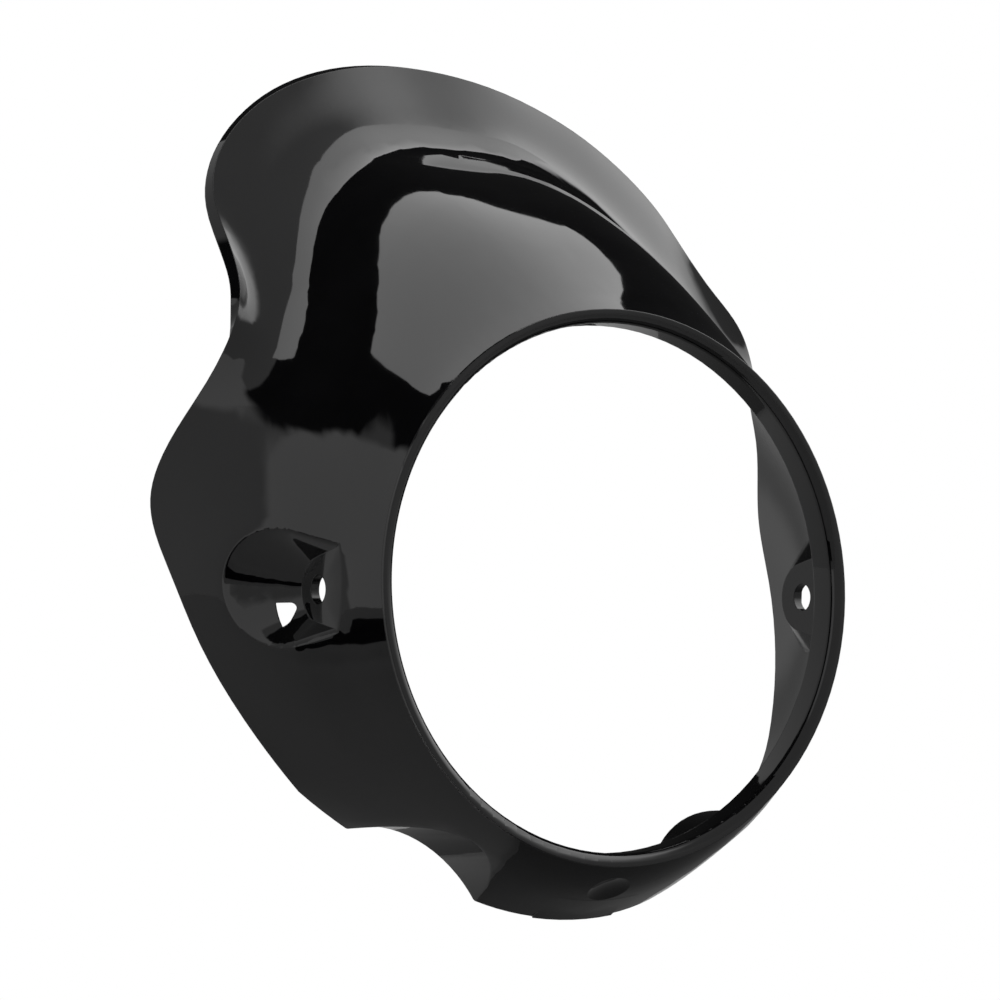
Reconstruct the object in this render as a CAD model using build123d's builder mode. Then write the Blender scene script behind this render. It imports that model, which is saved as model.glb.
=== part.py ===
"""Headlight cowl for a motorbike: one moulded shell with a round lamp opening, a visor, ears and screw pockets."""

from build123d import *
import math
import os

# The frame, in millimetres: X to the right, -Y the front, Z up, and the origin on the axis of the lamp opening,
# where its bore begins behind the rounded lip. Depths are measured back from there.

# Moulding and lamp opening.
WALL = 3.0
BORE_RADIUS = 83.2
BORE_LENGTH = 8.0
LIP_WIDTH = 4.3
LIP_ROUND_IN = 3.0
LIP_ROUND_OUT = 1.2

# Screw pocket on each side: a flat seat with a hole, in a slot that opens out and runs to the front.
SEAT_X = 94.0
SEAT_DEPTH = 25.0
SEAT_Z = -1.0
SEAT_RADIUS = 10.0
SEAT_FAN = 15.0
POCKET_FLARE = 45.0
POCKET_ROUND = 2.5
SCREW_HOLE_RADIUS = 4.5
WINDOW_DEPTH = 40.3
WINDOW_Z = -8.5
WINDOW_WIDTH = 10.0
WINDOW_HEIGHT = 8.0
WINDOW_ROUND = 2.5

# Arch under each side, the foot between them with its raised tongue, and the lean of their rear edge.
ARCH_RADIUS = 34.0
ARCH_X = 67.5
ARCH_TOP = -74.0
ARCH_ROUND = 1.5
FOOT_REAR = 41.5
FOOT_LEAN = 25.0
TONGUE_WIDTH = 30.0
TONGUE_KICK = 7.0
DIMPLE_WIDTH = 16.0
DIMPLE_DEPTH = 1.6

# Character lines of the skin, right half, from the top centre to the bottom centre.
# Each station is the angle from the top, the rise over the lip's radius and the depth.
SHOULDER_LINE = (
    (0, 25.9, 31.6),
    (12, 25.7, 30.8),
    (24, 21.1, 27.1),
    (40, 12.4, 19.3),
    (60, 7.9, 12.5),
    (80, 5.9, 9.1),
    (100, 5, 8),
    (125, 5, 7.1),
    (150, 5.7, 6.5),
    (180, 7.4, 6.5),
)
DOME_LINE = (
    (0, 47.6, 65.1),
    (12, 47.2, 63.4),
    (24, 39.1, 56.1),
    (40, 23.5, 40.4),
    (60, 15.4, 26.7),
    (80, 11.7, 20.1),
    (100, 9.7, 17.7),
    (125, 9.2, 16.1),
    (150, 9.6, 14.7),
    (180, 11.6, 14.7),
)
CREASE_LINE = (
    (0, 62.5, 98.5),
    (12, 62, 96),
    (24, 52, 85),
    (40, 32.5, 61.5),
    (60, 22.5, 41),
    (80, 17.5, 31),
    (100, 14.5, 27.5),
    (125, 13, 25),
    (150, 13, 23),
    (180, 15, 23),
)
RIM_LINE = (
    (0, 95.5, 126),
    (11, 93.3, 121.8),
    (21, 88.3, 116),
    (33, 74.4, 101),
    (41, 54.6, 78),
    (47, 46.3, 66.5),
    (58, 39, 70),
    (65, 38.5, 76),
    (76, 36.7, 84.3),
    (87, 31, 75.7),
    (98, 27, 66),
    (112, 23.5, 54.5),
    (124, 21.7, 47),
    (137, 18.5, 45.5),
    (150, 15.5, 42),
    (163, 19.5, 39),
    (180, 20, 38),
)

# Values that follow from the dimensions above.
LIP_RADIUS = BORE_RADIUS + LIP_WIDTH
OVERLAP = 2 * WALL
TOUCH = WALL / 100
ARCH_Z = ARCH_TOP - ARCH_RADIUS
MIDDLE = Plane.YZ.offset(-OVERLAP)
LEAN = math.radians(FOOT_LEAN)
FOOT_EDGE = Plane((0, FOOT_REAR, ARCH_TOP), x_dir=(1, 0, 0), z_dir=(0, -math.cos(LEAN), math.sin(LEAN)))


def on_skin(angle, rise, depth):
    """The point at an angle from the top, a rise over the lip and a depth."""
    turn = math.radians(angle)
    reach = LIP_RADIUS + rise
    return (reach * math.sin(turn), depth, reach * math.cos(turn))


def character_line(stations, raised):
    """The right half of a smooth closed line through its stations and their mirror images, and a little more."""
    right = [on_skin(angle, rise + raised, depth) for angle, rise, depth in stations]
    left = [(-x, y, z) for x, y, z in reversed(right[1:-1])]
    half = len(left) // 2
    with BuildLine() as line:
        Spline(*left[half:], *right, *left[:half], periodic=True)
        split(bisect_by=MIDDLE)
    return line.wire()


def lip_line(raised):
    """The circle where the skin leaves the rolled lip, as far as the other lines go."""
    with BuildLine(Plane.XZ.offset(LIP_ROUND_IN - LIP_ROUND_OUT)) as line:
        CenterArc((0, 0), LIP_RADIUS + raised, 180, -360)
        split(bisect_by=MIDDLE)
    return line.wire()


def skin_face(raised=0, kick=0):
    """The outer face of the right half through the lip and the character lines, raised, with its rim kicked out."""
    lines = [character_line(stations, raised) for stations in (SHOULDER_LINE, DOME_LINE, CREASE_LINE)]
    rim = character_line(RIM_LINE, raised + kick)
    return Shell.make_loft([lip_line(raised), *lines, rim]).faces()[0]


skin = skin_face()


def flared_slot(wall):
    """The outward-opening, forward-fanning slot of the screw pocket, with its seat and sides moved out by a wall."""
    slope = math.radians(POCKET_FLARE)
    spread = wall / math.cos(slope) - wall * math.tan(slope)
    with BuildPart() as slot:
        for height in (0, SEAT_X):
            flare = spread + height * math.tan(slope)
            with BuildSketch(Plane.YZ.offset(SEAT_X - wall + height)):
                with Locations((SEAT_DEPTH, SEAT_Z)):
                    Circle(SEAT_RADIUS + flare)
                with Locations((0, SEAT_Z)):
                    Circle(SEAT_FAN + flare)
                make_hull()
        loft(ruled=True)
    return slot.part


def arch(radius, start):
    """The round channel that makes room under the side, from a depth to well behind the foot."""
    with BuildPart() as channel:
        with BuildSketch(Plane.XZ.offset(-start)):
            with Locations((ARCH_X, ARCH_Z)):
                Circle(radius)
        extrude(amount=-2 * FOOT_REAR)
    return channel.part


def within_skin(block):
    """The part of a block that lies inside the outer face of the skin."""
    with BuildPart() as inner:
        add(block)
        split(bisect_by=skin, keep=Keep.TOP)
    return inner.part


def pocket_cup():
    """The wall of the screw pocket, kept behind the lip and inside the skin."""
    with BuildPart() as cup:
        add(flared_slot(WALL))
        with Locations((SEAT_X, SEAT_DEPTH + OVERLAP, SEAT_Z)):
            Box(SEAT_X, 2 * SEAT_DEPTH, 2 * SEAT_DEPTH, mode=Mode.INTERSECT)
    return within_skin(cup.part)


def arch_wall():
    """The wall of the arch, inside the skin and in front of the foot's rear edge."""
    with BuildPart() as wall:
        add(arch(ARCH_RADIUS + WALL, OVERLAP))
        split(bisect_by=FOOT_EDGE)
    return within_skin(wall.part)


def tongue():
    """The tongue under the foot: from within the wall it kicks out of the skin towards the rear edge."""
    with BuildPart() as block:
        with Locations(on_skin(*CREASE_LINE[-1])):
            Box(TONGUE_WIDTH, FOOT_REAR / 2, TONGUE_WIDTH)
        split(bisect_by=Plane.YZ.offset(-WALL))
        split(bisect_by=skin_face(kick=TONGUE_KICK), keep=Keep.TOP)
        split(bisect_by=skin_face(raised=-WALL / 2), keep=Keep.BOTTOM)
    return block.part


def dimple():
    """The ball that presses the dimple into the slope at the bottom of the lip."""
    slope = Vector(on_skin(*SHOULDER_LINE[-1]))
    radius = (DIMPLE_WIDTH**2 / 4 + DIMPLE_DEPTH**2) / (2 * DIMPLE_DEPTH)
    with BuildPart() as ball:
        with Locations(slope - skin.normal_at(slope) * (radius - DIMPLE_DEPTH)):
            Sphere(radius)
    return ball.part


def on_outside(edge):
    """Whether an edge lies on the outer face of the skin."""
    return skin.distance_to(edge @ 0.5) < TOUCH


def on_arch(edge):
    """Whether an edge lies on the face of the arch."""
    middle = edge @ 0.5
    return abs(math.hypot(middle.X - ARCH_X, middle.Z - ARCH_Z) - ARCH_RADIUS) < TOUCH


with BuildPart() as headlight_cowl:
    thicken(skin, amount=WALL)
    add(pocket_cup())
    add(arch_wall())
    add(tongue())

    # Rolled lip and bore of the lamp opening.
    with BuildSketch(Plane.XY) as lip:
        with Locations((BORE_RADIUS, -LIP_ROUND_IN)):
            Rectangle(LIP_WIDTH, LIP_ROUND_IN + BORE_LENGTH, align=Align.MIN)
        front = lip.vertices().group_by(Axis.Y)[0].sort_by(Axis.X)
        fillet(front[0], radius=LIP_ROUND_IN)
        fillet(front[1], radius=LIP_ROUND_OUT)
    revolve(axis=Axis.Y)

    # Screw pocket with its rounded mouth, its hole and its window.
    add(flared_slot(0), mode=Mode.SUBTRACT)
    fillet(headlight_cowl.edges(Select.LAST).filter_by(on_outside), radius=POCKET_ROUND)
    with BuildSketch(Plane.YZ.offset(SEAT_X - 2 * WALL)):
        with Locations((SEAT_DEPTH, SEAT_Z)):
            Circle(SCREW_HOLE_RADIUS)
        with Locations((WINDOW_DEPTH, WINDOW_Z)):
            RectangleRounded(WINDOW_WIDTH, WINDOW_HEIGHT, WINDOW_ROUND)
    extrude(amount=4 * WALL, mode=Mode.SUBTRACT)

    # Arch under the side with its rounded mouth, the dimple and the rear edge of the foot.
    add(arch(ARCH_RADIUS, 0), mode=Mode.SUBTRACT)
    split(bisect_by=FOOT_EDGE)
    fillet(headlight_cowl.edges().filter_by(on_arch).filter_by(on_outside), radius=ARCH_ROUND)
    add(dimple(), mode=Mode.SUBTRACT)

    split(bisect_by=Plane.YZ)
    mirror(about=Plane.YZ)

headlight_cowl.part.label = "headlight_cowl"
os.makedirs("parts", exist_ok=True)
export_step(headlight_cowl.part, "parts/headlight_cowl.step")
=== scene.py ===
import math

import bmesh
import bpy
from bpy.props import FloatProperty, FloatVectorProperty, PointerProperty
from mathutils import Euler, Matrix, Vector


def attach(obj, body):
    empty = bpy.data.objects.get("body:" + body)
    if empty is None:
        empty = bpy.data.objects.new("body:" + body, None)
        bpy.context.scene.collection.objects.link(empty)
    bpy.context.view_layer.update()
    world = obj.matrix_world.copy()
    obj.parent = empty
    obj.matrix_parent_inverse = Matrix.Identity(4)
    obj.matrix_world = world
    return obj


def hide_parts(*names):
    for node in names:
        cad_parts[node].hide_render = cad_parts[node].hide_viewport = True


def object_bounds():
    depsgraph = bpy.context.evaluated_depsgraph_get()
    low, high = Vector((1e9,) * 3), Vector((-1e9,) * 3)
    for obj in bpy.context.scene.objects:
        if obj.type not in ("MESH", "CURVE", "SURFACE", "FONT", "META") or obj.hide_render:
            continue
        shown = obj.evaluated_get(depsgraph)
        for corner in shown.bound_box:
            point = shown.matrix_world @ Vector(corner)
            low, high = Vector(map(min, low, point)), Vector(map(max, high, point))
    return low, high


bl_info = {
    "name": "Headlight Cowl",
    "version": (1, 0, 0),
    "blender": (4, 5, 0),
    "location": "3D View > Sidebar > Cowl",
    "description": "Finishes a moulded motorbike headlight cowl in gloss black and sets it in a small studio",
    "category": "Object",
}

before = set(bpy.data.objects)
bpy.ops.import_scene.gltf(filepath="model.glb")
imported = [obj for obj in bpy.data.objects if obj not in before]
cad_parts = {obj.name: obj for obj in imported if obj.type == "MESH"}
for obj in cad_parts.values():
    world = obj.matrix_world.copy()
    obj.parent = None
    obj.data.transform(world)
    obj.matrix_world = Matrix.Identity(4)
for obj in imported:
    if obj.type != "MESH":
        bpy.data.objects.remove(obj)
CAD_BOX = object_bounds()
NODE = "headlight_cowl"
WHITE = (1.0, 1.0, 1.0, 1.0)

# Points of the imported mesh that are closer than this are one, and the bore of the lamp opening ends at this
# depth, in metres. Behind it, a face whose normal points out from the axis by less than this is inside.
MERGE = 0.000005
BORE_END = 0.0079
TURNED_OUT = 0.1

# The flange of the visor: the angle from the top in degrees, the radii of the crease and of the rim around
# the lamp axis and the depth of the hollow between them, in metres.
FLANGE = (
    (0.0, 0.1500, 0.1830, 0.0118),
    (8.0, 0.1503, 0.1818, 0.0119),
    (16.0, 0.1473, 0.1786, 0.0112),
    (24.0, 0.1395, 0.1739, 0.0098),
    (32.0, 0.1293, 0.1640, 0.0078),
    (38.0, 0.1220, 0.1492, 0.0054),
    (42.0, 0.1182, 0.1402, 0.0034),
    (46.0, 0.1154, 0.1348, 0.0017),
    (52.0, 0.1125, 0.1295, 0.0004),
    (58.0, 0.1105, 0.1265, 0.0),
    (64.0, 0.1089, 0.1260, 0.0),
)
# The weight of the flange's fill at the crease, its fall towards the rim, and how many widths out it runs.
FILL_AT_CREASE = 1.12
FILL_FALL = 0.24
FILL_REACH = 1.2

# The gloss of the plastic, and how much the film dulls it.
PLASTIC_IOR = 1.5
FILM_DULLING = 0.02

# The floor's half width, and the softbox, the skirting and the mat that the gloss shows, corner by corner,
# in metres.
FLOOR_REACH = 4.0
SOFTBOX = (
    (-0.42, 0.06, 0.85), (0.08, 0.055, 0.85), (0.45, 0.17, 0.85), (0.76, 0.36, 0.85), (0.60, 0.43, 0.85),
    (0.50, 0.45, 0.85), (0.37, 0.48, 0.85), (0.20, 0.45, 0.85), (-0.02, 0.375, 0.85), (-0.20, 0.32, 0.85),
    (-0.42, 0.24, 0.85),
)
SKIRTING = ((-0.90, -0.45, -0.25), (-0.90, 0.20, -0.25), (-0.90, 0.20, -0.13), (-0.90, -0.45, -0.13))
MAT = ((-0.02, -0.30, -0.34), (1.20, -0.30, -0.34), (1.20, 0.90, -0.34), (-0.02, 0.90, -0.34))
# Patches of the room: from and to azimuth, with 0 at the front and 90 on the right, from and to elevation,
# width of the soft edge, all in degrees, and brightness.
PATCHES = (
    (38.0, 116.0, 8.0, 59.0, 18.0, 2.6),
    (-230.0, -98.0, 44.0, 74.0, 3.0, 0.02),
    (114.0, 230.0, 13.0, 72.0, 3.0, 0.02),
    (114.0, 150.0, -12.0, 16.0, 3.0, 0.02),
    (150.0, 230.0, -12.0, 13.0, 3.0, 0.20),
    (-105.0, -62.0, -7.0, 46.0, 3.0, 0.95),
)


class CowlFinish(bpy.types.PropertyGroup):
    """The moulded plastic and its surface"""

    plastic: FloatVectorProperty(
        name="Plastic", description="Colour of the plastic right through", subtype="COLOR", size=4,
        min=0.0, max=1.0, default=(0.0014, 0.0014, 0.0017, 1.0))
    bloom: FloatVectorProperty(
        name="Bloom", description="Colour of the faint paler film that handling leaves", subtype="COLOR",
        size=4, min=0.0, max=1.0, default=(0.0032, 0.0032, 0.0036, 1.0))
    gloss: FloatProperty(
        name="Gloss roughness", description="Roughness of the polished outer face", subtype="FACTOR",
        min=0.0, max=1.0, default=0.035)
    core: FloatProperty(
        name="Core roughness", description="Roughness of the inner face, left by the mould's core",
        subtype="FACTOR", min=0.0, max=1.0, default=0.16)
    film_size: FloatProperty(
        name="Film size", description="Size of the patches of film", unit="LENGTH", min=0.001, default=0.03)
    peel_size: FloatProperty(
        name="Peel size", description="Size of the slow ripple in the gloss", unit="LENGTH",
        min=0.0005, default=0.014)
    peel_depth: FloatProperty(
        name="Peel depth", description="Depth of the slow ripple in the gloss", unit="LENGTH",
        min=0.0, default=0.000004)
    edge_round: FloatProperty(
        name="Edge round", description="Radius of the moulded edges", unit="LENGTH", min=0.0, default=0.0004)
    flange_fill: FloatProperty(
        name="Flange fill", description="How far the hollow of the visor's flange is filled",
        subtype="FACTOR", min=0.0, max=1.0, default=0.85)
    crease_width: FloatProperty(
        name="Crease width", description="Half width of the crease as a share of the flange",
        subtype="FACTOR", min=0.01, max=1.0, default=0.07)
    smooth_angle: FloatProperty(
        name="Smooth angle", description="Edges sharper than this stay crisp", unit="ROTATION",
        default=math.radians(18.0))


class StudioSettings(bpy.types.PropertyGroup):
    """The camera, the floor, the cards and the room"""

    camera_place: FloatVectorProperty(
        name="Camera place", description="Where the camera stands", subtype="XYZ", unit="LENGTH", size=3,
        default=(-0.73529, -1.07667, -0.05366))
    camera_turn: FloatVectorProperty(
        name="Camera turn", description="How the camera is turned", subtype="EULER", unit="ROTATION", size=3,
        default=(math.radians(93.5787), math.radians(0.5515), math.radians(-32.6902)))
    lens: FloatProperty(
        name="Lens", description="Focal length of the lens in millimetres", min=1.0, default=149.557)
    surround: FloatProperty(
        name="Surround", description="Brightness of the room", min=0.0, default=0.48)
    overhead: FloatProperty(
        name="Overhead", description="Brightness of the softbox overhead", min=0.0, default=1.9)
    mat: FloatProperty(
        name="Mat", description="Brightness of the dark mat under the right side", min=0.0, default=0.14)
    patches: FloatProperty(
        name="Patches", description="Brightness of the lit patches of the room", min=0.0, default=1.0)
    floor_drop: FloatProperty(
        name="Floor drop", description="How far the floor lies under the cowl", unit="LENGTH",
        min=0.0, default=0.25)
    floor_colour: FloatVectorProperty(
        name="Floor", description="Colour of the floor", subtype="COLOR", size=4,
        min=0.0, max=1.0, default=(0.54, 0.54, 0.54, 1.0))


def mesh_object(name, bm, *materials):
    """A new object at the origin from a finished bmesh."""
    mesh = bpy.data.meshes.new(name)
    bm.to_mesh(mesh)
    bm.free()
    obj = bpy.data.objects.new(name, mesh)
    for material in materials:
        mesh.materials.append(material)
    bpy.context.scene.collection.objects.link(obj)
    return obj


def gloss_group():
    """The shared surface of the moulding: patches of film, a varying gloss and a slow ripple."""
    group = bpy.data.node_groups.new("moulded_surface", "ShaderNodeTree")
    for way, name, kind in (
            ("INPUT", "Position", "Vector"), ("INPUT", "Plastic", "Color"), ("INPUT", "Bloom", "Color"),
            ("INPUT", "Film Scale", "Float"), ("INPUT", "Peel Scale", "Float"),
            ("INPUT", "Roughness", "Float"), ("OUTPUT", "Color", "Color"),
            ("OUTPUT", "Roughness", "Float"), ("OUTPUT", "Height", "Float")):
        group.interface.new_socket(name=name, in_out=way, socket_type="NodeSocket" + kind)
    nodes, links = group.nodes, group.links
    inputs, outputs = nodes.new("NodeGroupInput"), nodes.new("NodeGroupOutput")

    film = nodes.new("ShaderNodeTexNoise")
    film.inputs["Detail"].default_value = 5.0
    film.inputs["Roughness"].default_value = 0.6
    links.new(inputs.outputs["Position"], film.inputs["Vector"])
    links.new(inputs.outputs["Film Scale"], film.inputs["Scale"])
    patches = nodes.new("ShaderNodeMapRange")
    patches.inputs["From Min"].default_value = 0.42
    patches.inputs["From Max"].default_value = 0.78
    links.new(film.outputs["Fac"], patches.inputs["Value"])

    colour = nodes.new("ShaderNodeMix")
    colour.data_type = "RGBA"
    links.new(patches.outputs["Result"], colour.inputs["Factor"])
    links.new(inputs.outputs["Plastic"], colour.inputs["A"])
    links.new(inputs.outputs["Bloom"], colour.inputs["B"])
    links.new(colour.outputs["Result"], outputs.inputs["Color"])

    dulling = nodes.new("ShaderNodeMath")
    dulling.operation = "MULTIPLY_ADD"
    dulling.inputs[1].default_value = FILM_DULLING
    links.new(patches.outputs["Result"], dulling.inputs[0])
    links.new(inputs.outputs["Roughness"], dulling.inputs[2])
    links.new(dulling.outputs["Value"], outputs.inputs["Roughness"])

    ripple = nodes.new("ShaderNodeTexNoise")
    ripple.inputs["Detail"].default_value = 1.0
    links.new(inputs.outputs["Position"], ripple.inputs["Vector"])
    links.new(inputs.outputs["Peel Scale"], ripple.inputs["Scale"])
    links.new(ripple.outputs["Fac"], outputs.inputs["Height"])
    return group


def plastic(name, roughness, group):
    """The gloss black moulding with rounded edges, at a roughness."""
    finish = bpy.context.scene.cowl_finish
    material = bpy.data.materials.new(name)
    material.use_nodes = True
    nodes, links = material.node_tree.nodes, material.node_tree.links
    shader = nodes["Principled BSDF"]
    shader.inputs["IOR"].default_value = PLASTIC_IOR
    place = nodes.new("ShaderNodeTexCoord")
    surface = nodes.new("ShaderNodeGroup")
    surface.node_tree = group
    surface.inputs["Plastic"].default_value = finish.plastic
    surface.inputs["Bloom"].default_value = finish.bloom
    surface.inputs["Film Scale"].default_value = 1.0 / finish.film_size
    surface.inputs["Peel Scale"].default_value = 1.0 / finish.peel_size
    surface.inputs["Roughness"].default_value = roughness
    edges = nodes.new("ShaderNodeBevel")
    edges.samples = 6
    edges.inputs["Radius"].default_value = finish.edge_round
    ripple = nodes.new("ShaderNodeBump")
    ripple.inputs["Strength"].default_value = 1.0
    ripple.inputs["Distance"].default_value = finish.peel_depth
    links.new(place.outputs["Object"], surface.inputs["Position"])
    links.new(surface.outputs["Color"], shader.inputs["Base Color"])
    links.new(surface.outputs["Roughness"], shader.inputs["Roughness"])
    links.new(surface.outputs["Height"], ripple.inputs["Height"])
    links.new(edges.outputs["Normal"], ripple.inputs["Normal"])
    links.new(ripple.outputs["Normal"], shader.inputs["Normal"])
    return material


def eased(share, start, end, leave, meet):
    """The value at a share of the way from start to end, with its slopes where it leaves and meets them."""
    rest = 1.0 - share
    step = share * share * (3.0 - 2.0 * share)
    return start + (end - start) * step + share * rest * (leave * rest - meet * share)


def flange_at(angle):
    """The radii of the crease and the rim and the hollow at an angle from the top, eased between the rows."""
    second, last = FLANGE[1], FLANGE[-1]
    ahead = (-second[0], *second[1:])
    behind = (2.0 * last[0] - FLANGE[-2][0], *last[1:])
    rows = [ahead, *FLANGE, behind]
    for before, low, high, after in zip(rows, rows[1:], rows[2:], rows[3:]):
        if angle <= high[0]:
            span = high[0] - low[0]
            share = (angle - low[0]) / span
            leave, meet = span / (high[0] - before[0]), span / (after[0] - low[0])
            columns = list(zip(before, low, high, after))[1:]
            return [eased(share, b, c, leave * (c - a), meet * (d - b)) for a, b, c, d in columns]
    return last[1:]


def straighten(bm, amount, width):
    """Bring the flange between crease and rim forward, to a straighter line and a crisper crease."""
    for vert in bm.verts:
        angle = math.degrees(math.atan2(abs(vert.co.x), vert.co.z))
        crease, rim, hollow = flange_at(angle)
        along = (math.hypot(vert.co.x, vert.co.z) - crease) / (rim - crease)
        if -width < along < FILL_REACH:
            rise = (along + width) ** 2 / (4.0 * width) if along < width else along
            weight = FILL_AT_CREASE - FILL_FALL * along
            vert.co.y -= amount * hollow * 4.0 * rise * (1.0 - along) * weight


class COWL_OT_shell(bpy.types.Operator):
    """Make the moulded shell with its polished outer face and plainer inner face"""

    bl_idname = "cowl.shell"
    bl_label = "Moulded shell"

    def execute(self, context):
        finish = context.scene.cowl_finish
        group = gloss_group()
        outer = plastic("gloss_black_outer", finish.gloss, group)
        inner = plastic("gloss_black_inner", finish.core, group)
        bm = bmesh.new()
        bm.from_mesh(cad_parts[NODE].data)
        bmesh.ops.remove_doubles(bm, verts=bm.verts, dist=MERGE)
        straighten(bm, finish.flange_fill, finish.crease_width)
        bm.normal_update()
        for face in bm.faces:
            middle = face.calc_center_median()
            away = Vector((middle.x, 0.0, middle.z)).normalized()
            inside = middle.y > BORE_END and face.normal.dot(away) < TURNED_OUT
            face.material_index = 1 if inside else 0
            face.smooth = True
        for edge in bm.edges:
            edge.smooth = edge.calc_face_angle(0.0) < finish.smooth_angle
        shell = mesh_object("cowl_shell", bm, outer, inner)
        shell.data.attributes.remove(shell.data.attributes["custom_normal"])
        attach(shell, "root")
        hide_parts(NODE)
        return {"FINISHED"}


def glow(name, level):
    """An even emitter, or black at level zero."""
    material = bpy.data.materials.new(name)
    material.use_nodes = True
    nodes, links = material.node_tree.nodes, material.node_tree.links
    nodes.clear()
    light = nodes.new("ShaderNodeEmission")
    light.inputs["Color"].default_value = WHITE
    light.inputs["Strength"].default_value = level
    links.new(light.outputs["Emission"], nodes.new("ShaderNodeOutputMaterial").inputs["Surface"])
    return material


def connect(links, value, socket):
    """Link a socket to another's input, or set a plain number there."""
    if isinstance(value, bpy.types.NodeSocket):
        links.new(value, socket)
    else:
        socket.default_value = value


def math_node(nodes, links, operation, *values):
    """A math node on sockets or plain numbers."""
    node = nodes.new("ShaderNodeMath")
    node.operation = operation
    for value, socket in zip(values, node.inputs):
        connect(links, value, socket)
    return node.outputs["Value"]


def card(name, corners, level):
    """A flat bright or dark card through its corners, which shows in the gloss but not to the camera."""
    bm = bmesh.new()
    for corner in corners:
        bmesh.ops.create_vert(bm, co=corner)
    bmesh.ops.contextual_create(bm, geom=bm.verts[:])
    obj = mesh_object(name, bm, glow(name, level))
    obj.visible_camera = False
    obj.visible_shadow = False


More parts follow.
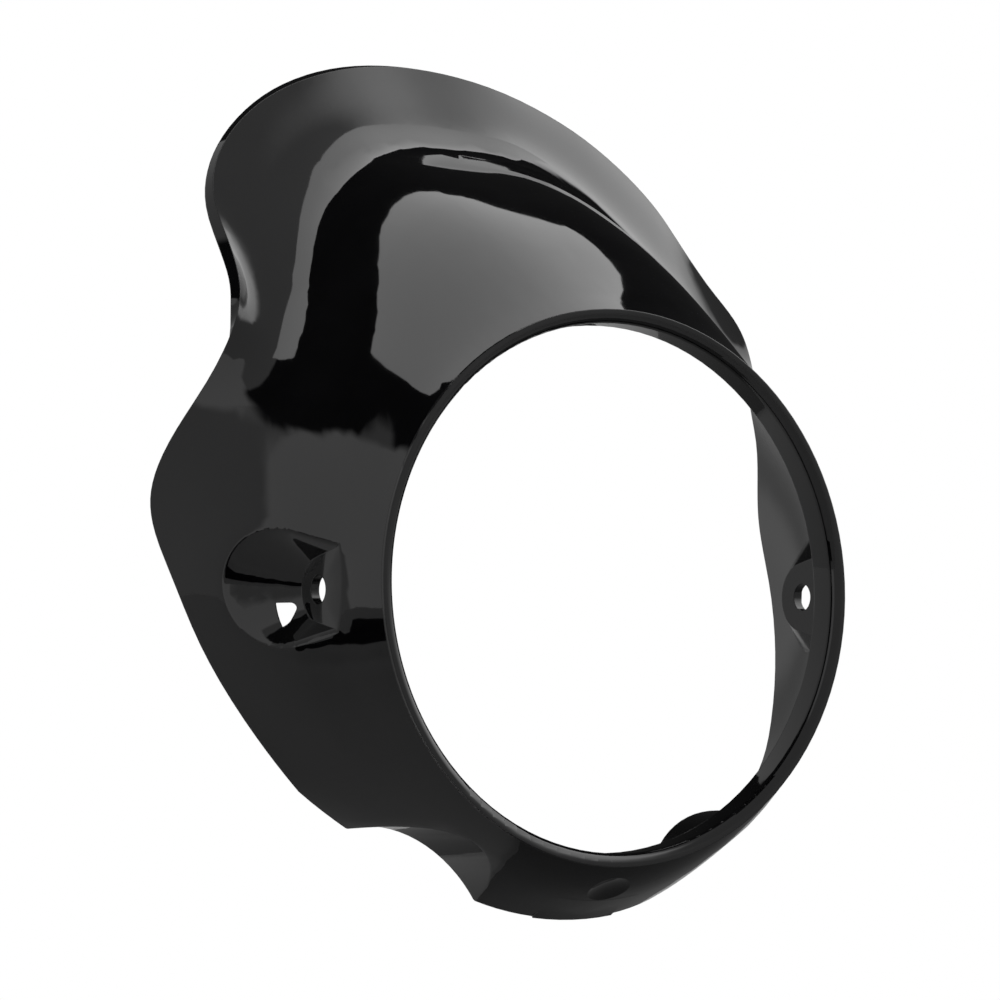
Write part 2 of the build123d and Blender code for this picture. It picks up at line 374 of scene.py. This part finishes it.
class COWL_OT_stage(bpy.types.Operator):
    """Set the camera, the floor, the cards and the room's light"""

    bl_idname = "cowl.stage"
    bl_label = "Stage"

    def execute(self, context):
        studio = context.scene.cowl_studio
        scene = context.scene
        scene.view_settings.view_transform = "Standard"

        lens = bpy.data.cameras.new("camera")
        lens.lens = studio.lens
        lens.clip_start, lens.clip_end = 0.01, 50.0
        camera = bpy.data.objects.new("camera", lens)
        camera.location = studio.camera_place
        camera.rotation_euler = Euler(studio.camera_turn)
        scene.collection.objects.link(camera)
        scene.camera = camera

        self.floor(studio)
        self.cards(studio)
        self.room(studio)
        return {"FINISHED"}

    def floor(self, studio):
        """A pale floor that is plain white to the camera."""
        low = CAD_BOX[0].z - studio.floor_drop
        bm = bmesh.new()
        bmesh.ops.create_grid(bm, x_segments=1, y_segments=1, size=FLOOR_REACH)
        bmesh.ops.translate(bm, vec=(0.0, 0.0, low), verts=bm.verts)
        material = bpy.data.materials.new("pale_floor")
        material.use_nodes = True
        nodes, links = material.node_tree.nodes, material.node_tree.links
        shader = nodes["Principled BSDF"]
        shader.inputs["Base Color"].default_value = studio.floor_colour
        shader.inputs["Roughness"].default_value = 0.9
        path = nodes.new("ShaderNodeLightPath")
        white = nodes.new("ShaderNodeEmission")
        white.inputs["Color"].default_value = WHITE
        mix = nodes.new("ShaderNodeMixShader")
        links.new(path.outputs["Is Camera Ray"], mix.inputs["Fac"])
        links.new(shader.outputs["BSDF"], mix.inputs[1])
        links.new(white.outputs["Emission"], mix.inputs[2])
        links.new(mix.outputs["Shader"], nodes["Material Output"].inputs["Surface"])
        mesh_object("floor", bm, material)

    def cards(self, studio):
        """The softbox overhead, a black skirting on the left and a dark mat under the right side."""
        card("softbox_overhead", SOFTBOX, studio.overhead)
        card("skirting_left", SKIRTING, 0.0)
        card("mat_right", MAT, studio.mat)

    def room(self, studio):
        """A room with soft patches of light and dark, plain white to the camera."""
        world = bpy.data.worlds.new("room")
        bpy.context.scene.world = world
        world.use_nodes = True
        nodes, links = world.node_tree.nodes, world.node_tree.links
        nodes.clear()
        place = nodes.new("ShaderNodeTexCoord")
        parts = nodes.new("ShaderNodeSeparateXYZ")
        links.new(place.outputs["Generated"], parts.inputs["Vector"])
        front = math_node(nodes, links, "MULTIPLY", parts.outputs["Y"], -1.0)
        azimuth = math_node(nodes, links, "ARCTAN2", parts.outputs["X"], front)
        elevation = math_node(nodes, links, "ARCSINE", parts.outputs["Z"])
        level = studio.surround
        for west, east, low, high, soft, light in PATCHES:
            mask = 1.0
            sides = ((azimuth, west, 1), (azimuth, east, -1), (elevation, low, 1), (elevation, high, -1))
            for angle, edge, way in sides:
                ramp = nodes.new("ShaderNodeMapRange")
                ramp.interpolation_type = "SMOOTHSTEP"
                ramp.inputs["From Min"].default_value = math.radians(edge - way * soft / 2)
                ramp.inputs["From Max"].default_value = math.radians(edge + way * soft / 2)
                links.new(angle, ramp.inputs["Value"])
                mask = math_node(nodes, links, "MULTIPLY", ramp.outputs["Result"], mask)
            blend = nodes.new("ShaderNodeMix")
            links.new(mask, blend.inputs["Factor"])
            connect(links, level, blend.inputs["A"])
            connect(links, light * studio.patches, blend.inputs["B"])
            level = blend.outputs["Result"]
        path = nodes.new("ShaderNodeLightPath")
        seen = nodes.new("ShaderNodeMix")
        links.new(path.outputs["Is Camera Ray"], seen.inputs["Factor"])
        links.new(level, seen.inputs["A"])
        seen.inputs["B"].default_value = 1.0
        back = nodes.new("ShaderNodeBackground")
        back.inputs["Color"].default_value = WHITE
        links.new(seen.outputs["Result"], back.inputs["Strength"])
        links.new(back.outputs["Background"], nodes.new("ShaderNodeOutputWorld").inputs["Surface"])


class COWL_PT_panel(bpy.types.Panel):
    """The cowl's pieces, finish and studio"""

    bl_idname = "COWL_PT_panel"
    bl_label = "Headlight Cowl"
    bl_space_type = "VIEW_3D"
    bl_region_type = "UI"
    bl_category = "Cowl"

    def draw(self, context):
        layout = self.layout
        for settings in (context.scene.cowl_finish, context.scene.cowl_studio):
            column = layout.column()
            for name in settings.__annotations__:
                column.prop(settings, name)
        layout.operator("cowl.shell")
        layout.operator("cowl.stage")


CLASSES = (CowlFinish, StudioSettings, COWL_OT_shell, COWL_OT_stage, COWL_PT_panel)


def register():
    """Register the classes and hang their settings on the scene."""
    for cls in CLASSES:
        bpy.utils.register_class(cls)
    bpy.types.Scene.cowl_finish = PointerProperty(type=CowlFinish)
    bpy.types.Scene.cowl_studio = PointerProperty(type=StudioSettings)


def unregister():
    """Take the settings and classes away again."""
    del bpy.types.Scene.cowl_studio
    del bpy.types.Scene.cowl_finish
    for cls in reversed(CLASSES):
        bpy.utils.unregister_class(cls)


def main():
    """Make the cowl and its stage."""
    register()
    bpy.ops.cowl.shell()
    bpy.ops.cowl.stage()


if __name__ == "__main__":
    main()
